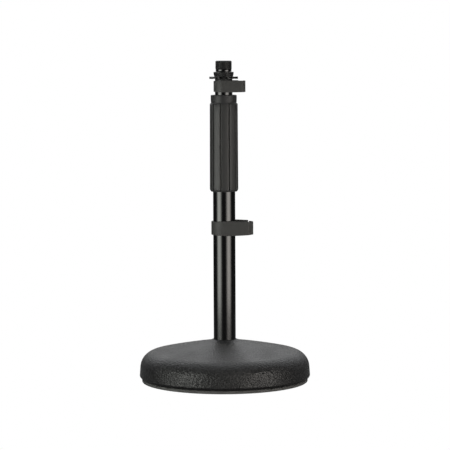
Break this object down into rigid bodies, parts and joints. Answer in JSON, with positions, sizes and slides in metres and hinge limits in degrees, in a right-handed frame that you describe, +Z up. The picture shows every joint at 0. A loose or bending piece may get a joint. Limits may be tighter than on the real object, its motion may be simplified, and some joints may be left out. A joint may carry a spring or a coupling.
{
  "type": "desktop microphone stand",
  "caption": "Telescoping desktop microphone stand: round weighted base, twist-clutch tube, clip-on cable holders and a threaded stud on top.",
  "frame": {"origin": "centre of the foot ring's flat underside, on the table", "axes": "+Z up along the tube, +X the way both cable clips point, -Y towards the viewer"},
  "size_m": [0.1634, 0.1634, 0.3064],
  "materials": {
    "base_iron": "fine textured black coating",
    "foot_rubber": "matte",
    "zinc_steel": "zinc plated",
    "tube_black": "gloss black",
    "nylon": "natural nylon",
    "grip_plastic": "satin black",
    "grip_rubber": "satin soft-touch",
    "stud_steel": "black oxide",
    "clip_plastic": "satin black"
  },
  "bodies": {
    "stand": {"base_casting": "base_iron", "foot_ring": "foot_rubber", "foot_plug": "zinc_steel", "base_bolt": "zinc_steel", "flat_washer": "zinc_steel", "spring_washer": "zinc_steel", "outer_tube": "tube_black", "clutch_bushing": "nylon", "collet": "nylon"},
    "clutch_thrust": {"thrust_ring": "nylon"},
    "clutch_grip": {"grip_core": "grip_plastic", "grip_sleeve": "grip_rubber"},
    "height_guide": {"guide_ring": "nylon"},
    "inner_column": {"inner_tube": "tube_black", "end_plug": "nylon", "stud_bush": "zinc_steel", "thread_stud": "stud_steel", "star_washer": "stud_steel"},
    "upper_clip": {"upper_cable_clip": "clip_plastic"},
    "lower_clip": {"lower_cable_clip": "clip_plastic"}
  },
  "joints": [
    {"name": "clutch_lift", "type": "slide", "parent": "stand", "child": "clutch_thrust", "axis": [0, 0, 1], "range_m": [0, 0.001]},
    {"name": "clutch_twist", "type": "hinge", "parent": "clutch_thrust", "child": "clutch_grip", "pos_m": [0, 0, 0.22], "axis": [0, 0, 1], "range_deg": [0, 180]},
    {"name": "height_slide", "type": "slide", "parent": "stand", "child": "height_guide", "axis": [0, 0, 1], "range_m": [-0.0015, 0.128]},
    {"name": "inner_tube_turn", "type": "hinge", "parent": "height_guide", "child": "inner_column", "pos_m": [0, 0, 0.2], "axis": [0, 0, 1], "continuous": true},
    {"name": "upper_clip_turn", "type": "hinge", "parent": "inner_column", "child": "upper_clip", "pos_m": [0, 0, 0.282], "axis": [0, 0, 1], "continuous": true},
    {"name": "lower_clip_slide", "type": "slide", "parent": "stand", "child": "lower_clip", "axis": [0, 0, 1], "range_m": [-0.095, 0.0275]}
  ],
  "couplings": [
    {"joint": "clutch_lift", "follows": "clutch_twist", "m_per_rad": 0.000318}
  ]
}
